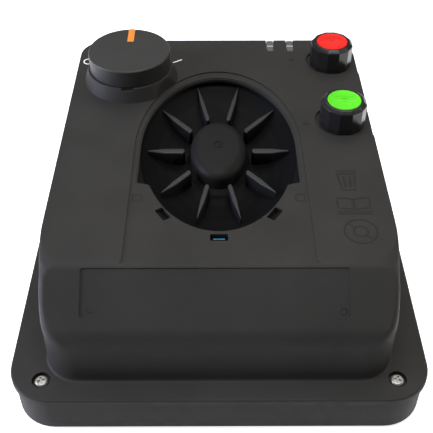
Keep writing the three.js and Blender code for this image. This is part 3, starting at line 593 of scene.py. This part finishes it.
def build_shell():
    """The back shell: a tray with round lower edges, keyhole pockets and the inlet's pocket."""
    inset, wall, floor, top = SHELL["inset"], SHELL["wall"], SHELL["floor"], SHELL["top"]
    round_r = 2.2
    loops = []
    for k in range(6):
        a = math.radians(90 * k / 5)
        loops.append(flange_loop(inset + round_r * (1 - math.sin(a)), round_r * (1 - math.cos(a))))
    loops.append(flange_loop(inset + 0.25, top))
    tray = loft("back_shell_fine", loops)
    cut(tray, loft("tray_hollow", [flange_loop(inset + wall, z) for z in (floor, top + 1)]))
    rooted = 1
    posts = [disc("post", 5.5, rooted, top, at, 32) for at in SCREW_AT]
    posts += [disc("post", BOARD_POST["r"], rooted, BOARD_POST["top"], at, 32) for at in BOARD_SCREW_AT]
    posts.append(box("block", (-INLET["block_x"], INLET["block_x"]),
                     (INLET["block_y"], INLET["block_y"] + 10), (rooted, top)))
    middle = KEYHOLE["y"] + KEYHOLE["travel"] / 2
    posts += [rounded_box("boss", 8.6, 14.1, 8.5, 0.5, 10.5,
                          Matrix.Translation((side * KEYHOLE["x"], middle, 0)), 8) for side in (-1, 1)]
    join(tray, *posts)
    tools = [disc("pilot", 2.05, 7, top + 1, at, 24) for at in SCREW_AT]
    tools += [disc("pilot", BOARD_POST["hole_r"], 6, 16, at, 24) for at in BOARD_SCREW_AT]
    tools.append(box("inlet_pocket", (-INLET["x"], INLET["x"]), (INLET["wall_y"], 132),
                     (INLET["low"], INLET["high"])))
    bore = disc("inlet_bore", 5.9, INLET["block_y"] - 1, INLET["wall_y"] + 1)
    bore.data.transform(
        Matrix.Translation((0, 0, INLET["z"] * MM)) @ Matrix.Rotation(-math.pi / 2, 4, "X"))
    tools.append(bore)
    groove_low = top - GROOVE["depth"]
    groove_out = inset + (wall - GROOVE["width"]) / 2
    groove_in = groove_out + GROOVE["width"]
    tools.append(loft("groove", [
        flange_loop(groove_out, groove_low), flange_loop(groove_out, top + 1),
        flange_loop(groove_in, top + 1), flange_loop(groove_in, groove_low)], ring=True))
    entry_top = 3.2
    for side in (-1, 1):
        x, y = side * KEYHOLE["x"], KEYHOLE["y"]
        here = Matrix.Translation((x, y, 0))
        tools += [disc("entry", KEYHOLE["entry_r"], -1, entry_top, (x, y)),
                  box("neck", (-KEYHOLE["neck"], KEYHOLE["neck"]), (0, KEYHOLE["travel"]),
                      (-1, entry_top), here),
                  rounded_box("track", KEYHOLE["entry_r"], 10.7, 5.1, KEYHOLE["lip"], KEYHOLE["depth"],
                              here @ Matrix.Translation((0, KEYHOLE["travel"] / 2, 0)), 8)]
    cut(tray, *tools)
    finish(tray, HOUSING, "housing", ("back_shell",), edge=0.3)


# ---------- ribbed dish ----------
def build_dish():
    """The bowl with its hooks, the ribs that stand in it, and the hub in its middle. The bowl, the rib sides
    and the hub get darker copies of the dish plastic as painted shade, and the rib tops a lighter copy as
    painted light.
    """
    under = ((DISH_RIM_R, -5.1), (44.2, -5.1), (42.6, -7.2), (39.3, -10, 6), (35, -12.6, 10),
             (28.5, -14.9, 8), (22, -16.2, 6), (16.5, -15.9))
    centre = (0, DISH_Y, FACE)
    dish = lathe("ribbed_dish_fine", rounded((
        (0, -12.2), (14.6, -12.2), (15.1, -12.5, 2.0), (17.5, -14, 2.0), (22, -14.3, 6), (28, -13, 12),
        (34, -10.6, 12), (38, -8, 10), (41, -5.5, 6), (42.6, -3.3, 1.2), (DISH_RIM_R, -3.3),
        *under, (13.2, -14), (0, -14)), steps=4), centre, 128, STRETCH)
    envelope = lathe("under", rounded(
        ((0, 0), (DISH_RIM_R, 0), *under, (13.2, -14), (0, -14))), centre, 96, STRETCH)
    ribs = None
    for index in range(RIB["count"]):
        angle = 2 * math.pi * index / RIB["count"]
        length = RIB["outer"] + RIB["shift"] * math.sin(angle) - RIB["inner"]
        place = (Matrix.Translation(centre) @ Matrix.Diagonal((1, STRETCH, 1, 1))
                 @ Matrix.Rotation(angle, 4, "Z") @ Matrix.Translation((RIB["inner"], 0, 0)))
        rib = rib_solid(length, place)
        ribs = rib if ribs is None else join(ribs, rib)
    combine(ribs, [envelope], "INTERSECT")
    hooks = []
    for x, y, angle in HOOK_SLOTS:
        out = Vector((math.sin(angle), -math.cos(angle), 0)) * HOOK["offset"]
        place = Matrix.Translation((x + out.x, y + out.y, FACE)) @ Matrix.Rotation(angle, 4, "Z")
        hooks.append(box("hook", (-HOOK["x"], HOOK["x"]), (-HOOK["y"], HOOK["y"]),
                         (HOOK["low"], HOOK["top"]), place))
    join(dish, *hooks)
    # painted highlight: a bright blue strip under the bottom slot, standing in for the light on the hook's
    # edge
    strip = box("hook_painted_highlight", (-2.7, 2.7), (0.7, 1.1), (-2.2, -1.5),
                Matrix.Translation((0, HOOK_SLOTS[0][1] - HOOK["offset"], FACE)))
    finish(strip, HOOK_PAINTED_HIGHLIGHT, "housing", edge=0.1)
    # painted shade: the bowl's darker copy of the dish plastic
    finish(dish, DISH_PAINTED_SHADE, "housing", ("ribbed_dish",), edge=0.25, limit=38)
    ribs.name = "dish_ribs_fine"
    finish(ribs, RIB_TOP_PAINTED_LIGHT, "housing", edge=0)
    ribs.data.materials.append(RIB_SIDE_PAINTED_SHADE)
    # painted light and shade: faces turned up get the lighter top copy, all others the darker side copy
    for face in ribs.data.polygons:
        face.material_index = 0 if face.normal.z > 0.6 else 1
    hub = lathe("dish_hub_fine", rounded((
        (0, HUB["top"]), (HUB["r"], HUB["top"], 5), (15.2, -12.4), (0, -12.4)), steps=8), centre, 96, STRETCH)
    dimple_low = HUB["top"] - 0.4
    cut(hub, lathe("dimple", ((1.5, dimple_low), (2.5, dimple_low), (2.5, 1), (1.5, 1)), centre, 32, 1.3))
    # painted shade: the hub's darker copy of the dish plastic
    finish(hub, HUB_PAINTED_SHADE, "housing", edge=0.12, limit=38)


def rib_solid(length, place):
    """A fin with a rounded top, a round inner end and a tapered point, from (0, 0) along X."""
    half, tip, top, low = RIB["width"] / 2, RIB["tip"] / 2, RIB["top"], -15
    round_r = 0.7
    loops = []
    for drop, z in ((0, low), (0, top - round_r), (0.2, top - 0.3), (0.45, top - 0.08), (round_r, top)):
        wide, end = half - drop, max(tip - drop, 0.05)
        outline = arc((half, 0), (wide, wide), 90, 270, 12)
        outline += [(length * 0.55, -wide), (length, -end), (length, end), (length * 0.55, wide)]
        loops.append([place @ Vector((*p, z)) for p in outline])
    return loft("rib", loops)


# ---------- rotary knob ----------
def build_knob():
    at = (SWITCH.x, SWITCH.y, FACE)
    radius, low, top = KNOB["r"], KNOB["bottom"], KNOB["top"]
    room, ceiling = radius - KNOB["wall"], top - KNOB["roof"]
    knob = lathe("knob_fine", rounded((
        (0, ceiling), (room, ceiling), (room, low), (radius - 0.1, low, 0.3), (radius, top, 0.9),
        (0, top))), at, 128)
    join(knob, disc("stem", 6, FACE + 11.4, FACE + ceiling + 1, SWITCH.xy))
    half, start = POINTER["width"] / 2, radius - POINTER["length"]
    floor = top - POINTER["thick"] - GAP
    here = Matrix.Translation(at)
    cut(knob, disc("shaft_hole", 3.3, FACE + 8, FACE + top - 3, SWITCH.xy),
        box("pointer_slot", (-half - GAP / 2, half + GAP / 2), (start - GAP / 2, radius + 1),
            (floor, top + 1.6), here))
    finish(knob, KNOB_BLACK, "rotary_knob", ("knob",), edge=0.2)
    pointer = box("knob_pointer_fine", (-half, half), (start, radius + 1), (floor + 0.05, top), here)
    combine(pointer, [disc("round", radius - 0.15, FACE, FACE + 30, SWITCH.xy, 128)], "INTERSECT")
    finish(pointer, ORANGE, "rotary_knob", ("knob_pointer",), edge=0.15)


# ---------- terminals ----------
def build_terminal(name, cap_material):
    y = TERMINAL_Y[name]
    at = (TERMINAL_X, y, FACE)
    radius, low, top, cap_r = TERMINAL["r"], TERMINAL["low"], TERMINAL["top"], TERMINAL["cap"]
    seat = lathe(f"{name}_seat_fine", rounded((
        (3.3, -8), (TERMINAL["tube_r"], -8, 0.3), (TERMINAL["tube_r"], -1), (TERMINAL["seat_r"], -1),
        (TERMINAL["seat_r"], -0.1, 0.3), (3.3, -0.1))), at, 72)
    finish(seat, TERMINAL_BLACK, "housing", (f"{name}_terminal_seat",), edge=0)
    facets = TERMINAL["facets"]
    body = lathe(f"{name}_knob_fine", (
        (0, low), (radius - 0.4, low), (radius, low + 0.5), (radius, top - 1.6), (TERMINAL["bevel"], top),
        (0, top)), at, facets, start=math.pi / facets)
    cut(body, disc("washer_room", TERMINAL["hollow"], FACE - 2, FACE + 1.7, at[:2]),
        disc("stud_room", 3.3, FACE, FACE + 11.5, at[:2], 24),
        disc("cap_room", cap_r + GAP, FACE + top - 1.4, FACE + 15, at[:2]))
    finish(body, TERMINAL_BLACK, f"{name}_screw", (f"{name}_knob",), edge=0.25, limit=20)
    cap = lathe(f"{name}_cap_fine", rounded((
        (0, top - 1.1), (cap_r, top - 1.1), (cap_r, top + 0.1, 0.45), (cap_r - 0.7, top + 0.1),
        (cap_r - 0.9, top - 0.2), (0, top - 0.2))), at, 72)
    bars = [rounded_box("bar", half, 0.3, 0.25, top - 0.5, top - 0.05,
                        Matrix.Translation(at) @ Matrix.Translation((0, up, 0)))
            for half, up in ((5.0, 2.2), (3.5, 0.2), (2.0, -1.8))]
    join(cap, *bars)
    finish(cap, cap_material, f"{name}_screw",
           (f"{name}_knob_cap",), edge=0)


# ---------- indicator windows ----------
def build_guides():
    for index, x in enumerate(GUIDE_X):
        half = GUIDE["width"] / 2
        back = BODY["back_top"] - 0.1
        line = ((GUIDE["start"], -GUIDE["plate"]), (GUIDE["start"], 0, 0.3), (back, 0, 0.9),
                (back, -GUIDE["tail"]), (back - WALL, -GUIDE["tail"]), (back - WALL, -GUIDE["plate"]))
        side = rounded(line, closed=True)
        loops = [[Vector((x + sx * half, y, FACE + z)) for y, z in side] for sx in (-1, 1)]
        guide = loft(f"light_guide_{index + 1}_fine", loops)
        stem = box("stem", (x - GUIDE["stem"] / 2, x + GUIDE["stem"] / 2),
                   (GUIDE["stem_y"], GUIDE["stem_y"] + GUIDE["stem"]), (GUIDE["stem_bottom"], FACE - 1))
        join(guide, stem)
        finish(guide, GUIDE_PAINTED_GLOW, "housing", (f"light_guide_{index + 1}",), edge=0.25)


# ---------- screws ----------
def build_screws():
    for index, at in enumerate(SCREW_AT):
        top, low = FLANGE["top"], FLANGE["top"] - SCREW["head_depth"]
        tip, shank, head = SCREW["tip"], SCREW["shank_r"], SCREW["head_r"]
        screw = lathe(f"cover_screw_{index + 1}_fine", rounded((
            (0, tip), (0.5, tip), (shank, 9.8), (shank, low), (head, low), (head, top - 1.1, 0.3),
            (2.6, top - 0.35, 0.8), (0, top))), (*at, 0), 40)
        turn = math.radians(20 + 50 * index)
        place = Matrix.Translation((*at, 0)) @ Matrix.Rotation(turn, 4, "Z")
        long, thin, deep = (-2.0, 2.0), (-0.42, 0.42), (top - 1.4, top + 1)
        cross = [box("cross", long, thin, deep, place), box("cross", thin, long, deep, place)]
        cut(screw, *cross)
        finish(screw, STEEL, "housing", (f"cover_screw_{index + 1}",), edge=0.12)


# ---------- printed and raised marks ----------
def stroke(points, width, z0, z1, place=Matrix(), closed=False):
    """A band of one width along a line of (x, y) points, as a closed loft."""
    line = [Vector(p) for p in points]
    left, right = [], []
    for i, p in enumerate(line):
        before = line[i - 1] if closed or i else p
        after = line[(i + 1) % len(line)] if closed or i < len(line) - 1 else p
        along = (after - before).normalized()
        side = Vector((-along.y, along.x)) * width / 2
        into, out = (p - before), (after - p)
        if into.length > 1e-6 and out.length > 1e-6:
            side /= max(0.5, math.cos(into.angle(out) / 2))
        left.append(p + side)
        right.append(p - side)
    loops = [[place @ Vector((*p, z)) for p, z in ((a, z0), (b, z0), (b, z1), (a, z1))]
             for a, b in zip(left, right)]
    return loft("stroke", loops, ring=closed)


def one_object(name, parts):
    """Several pieces as one mesh."""
    work = bmesh.new()
    for part in parts:
        work.from_mesh(part.data)
    mesh = bpy.data.meshes.new(name)
    work.to_mesh(mesh)
    work.free()
    for part in parts:
        old = part.data
        bpy.data.objects.remove(part)
        bpy.data.meshes.remove(old)
    obj = bpy.data.objects.new(name, mesh)
    bpy.context.scene.collection.objects.link(obj)
    return obj


def build_marks():
    """The switch's printed O and I, and raised pictograms of a generic design on the right."""
    here = Matrix.Translation(SWITCH)
    far, size, angle = SWITCH_RING["from_centre"], SWITCH_RING["r"], math.radians(SWITCH_RING["angle"])
    middle = (far * math.cos(angle), far * math.sin(angle))
    ring = stroke(arc(middle, (size, size), 0, 345, 23), 0.8, 0.0, 0.08, here, closed=True)
    angle = math.radians(SWITCH_TICK["angle"])
    ends = [(r * math.cos(angle), r * math.sin(angle)) for r in (SWITCH_TICK["start"], SWITCH_TICK["end"])]
    tick = stroke(ends, 0.9, 0.0, 0.08, here)
    printed = one_object("switch_marks", [ring, tick])
    finish(printed, MARK_WHITE, "housing", edge=0)
    lines = []
    face = Matrix.Translation((0, 0, FACE))
    wide, high = 0.75, 0.14

    def draw(points, closed=False):
        lines.append(stroke(points, wide, 0.0, high, face, closed))

    x, y = 65.9, -27.5
    draw([(x - 4.4, y + 5.5), (x + 4.4, y + 5.5), (x + 3.2, y - 7), (x - 3.2, y - 7)], True)
    draw([(x - 5.2, y + 7.6), (x + 5.2, y + 7.6)])
    draw([(x - 1.6, y + 3.4), (x - 1.2, y - 5)])
    draw([(x + 1.6, y + 3.4), (x + 1.2, y - 5)])
    x, y = 67, -45.5
    draw([(x - 8, y + 5.2), (x - 0.5, y + 4), (x - 0.5, y - 3.4), (x - 8, y - 2.2)], True)
    draw([(x + 0.5, y + 4), (x + 8, y + 5.2), (x + 8, y - 2.2), (x + 0.5, y - 3.4)], True)
    draw([(x - 8.4, y - 5), (x + 8.4, y - 5)])
    draw([(x - 8.4, y - 6.6), (x + 8.4, y - 6.6)])
    x, y = 68, -64.4
    draw(arc((x, y), (8, 8), 0, 350, 35), True)
    draw(arc((x, y), (3.4, 3.4), 0, 340, 17), True)
    draw([(x - 5.4, y + 5.4), (x - 2.8, y + 2.8)])
    draw([(x + 5.4, y - 5.4), (x + 2.8, y - 2.8)])
    draw([(44.3, 87.4), (47.3, 87.4)])
    draw([(45.8, 85.9), (45.8, 88.9)])
    draw([(47.6, 20.7), (50.2, 20.7), (48.9, 23.5)], True)
    raised = one_object("face_pictograms", lines)
    finish(raised, MARK_DARK, "housing", edge=0)


def build_panel_marks():
    """Faint squares on the panel, and a small angle and ring in the label recess's lower corners."""
    panel = Matrix.Translation((0, 0, FACE - PANEL_DEPTH))
    wide, high = 0.5, 0.12
    half, low, up = 2.3, -41.8, -37.2
    lines = [stroke([(x - half, low), (x + half, low), (x + half, up), (x - half, up)],
                    wide, 0.0, high, panel, True) for x in (-41, 41)]
    recess = slope_place(LABEL["from_bend"] + LABEL["length"] - 3, LABEL["x"]) @ Matrix.Translation(
        (0, 0, -LABEL["depth"]))
    reach = LABEL["width"] / 2 - 3.5
    lines.append(stroke(arc((reach, 0), (1.5, 1.5), 0, 340, 17), wide, 0.0, high, recess, True))
    lines.append(stroke([(-reach, 2.6), (-reach, 0), (-reach + 3, 0)], wide, 0.0, high, recess))
    finish(one_object("panel_marks", lines), MARK_DARK, "housing", edge=0)


# ---------- stage ----------
def build_camera():
    data = bpy.data.cameras.new("camera")
    data.lens, data.sensor_width = CAMERA["lens"], 36
    data.clip_start, data.clip_end = 0.01, 50
    camera = bpy.data.objects.new("camera", data)
    camera.location = Vector(CAMERA["at"]) * MM
    camera.rotation_euler = [math.radians(angle) for angle in CAMERA["turn"]]
    bpy.context.scene.collection.objects.link(camera)
    bpy.context.scene.camera = camera


def area_light(name, place, target, size, power, colour):
    data = bpy.data.lights.new(name, "AREA")
    data.shape = "RECTANGLE"
    data.size, data.size_y = size
    data.energy, data.color = power, colour
    light = bpy.data.objects.new(name, data)
    light.location = place
    light.rotation_euler = (Vector(target) - Vector(place)).to_track_quat("-Z", "Y").to_euler()
    bpy.context.scene.collection.objects.link(light)


def build_stage():
    """A pale floor that gives off light but sends none back to the object, a world and four lights."""
    reach = FLOOR["reach"]
    floor = box("floor", (-reach, reach), (-reach, reach), (FLOOR["low"], FLOOR["top"]))
    white = moulded("floor_white", (0.93, 0.93, 0.93), 0.9, specular=0.1, tint=0.01)
    shader = white.node_tree.nodes["Principled BSDF"]
    shader.inputs["Emission Color"].default_value = (1, 1, 1, 1)
    shader.inputs["Emission Strength"].default_value = FLOOR["glow"]
    floor.data.materials.append(white)
    floor.visible_diffuse = False
    world = bpy.data.worlds.new("studio")
    world.use_nodes = True
    tree = world.node_tree
    background = tree.nodes["Background"]
    background.inputs["Color"].default_value = (0.95, 0.97, 1.0, 1)
    # the world looks brighter to the camera than it lights, so the background is white
    seen = tree.nodes.new("ShaderNodeMath")
    seen.operation = "MULTIPLY_ADD"
    seen.inputs[1].default_value, seen.inputs[2].default_value = WORLD["more_if_seen"], WORLD["light"]
    tree.links.new(tree.nodes.new("ShaderNodeLightPath").outputs["Is Camera Ray"], seen.inputs[0])
    tree.links.new(seen.outputs["Value"], background.inputs["Strength"])
    bpy.context.scene.world = world
    for light in LIGHTS:
        area_light(*light)
    bpy.context.scene.view_settings.view_transform = "Standard"


build_camera()
dress_cad_nodes()
build_cover()
build_shell()
build_dish()
build_knob()
build_terminal("fence", CAP_RED)
build_terminal("earth", CAP_GREEN)
build_guides()
build_screws()
build_marks()
build_panel_marks()
build_stage()
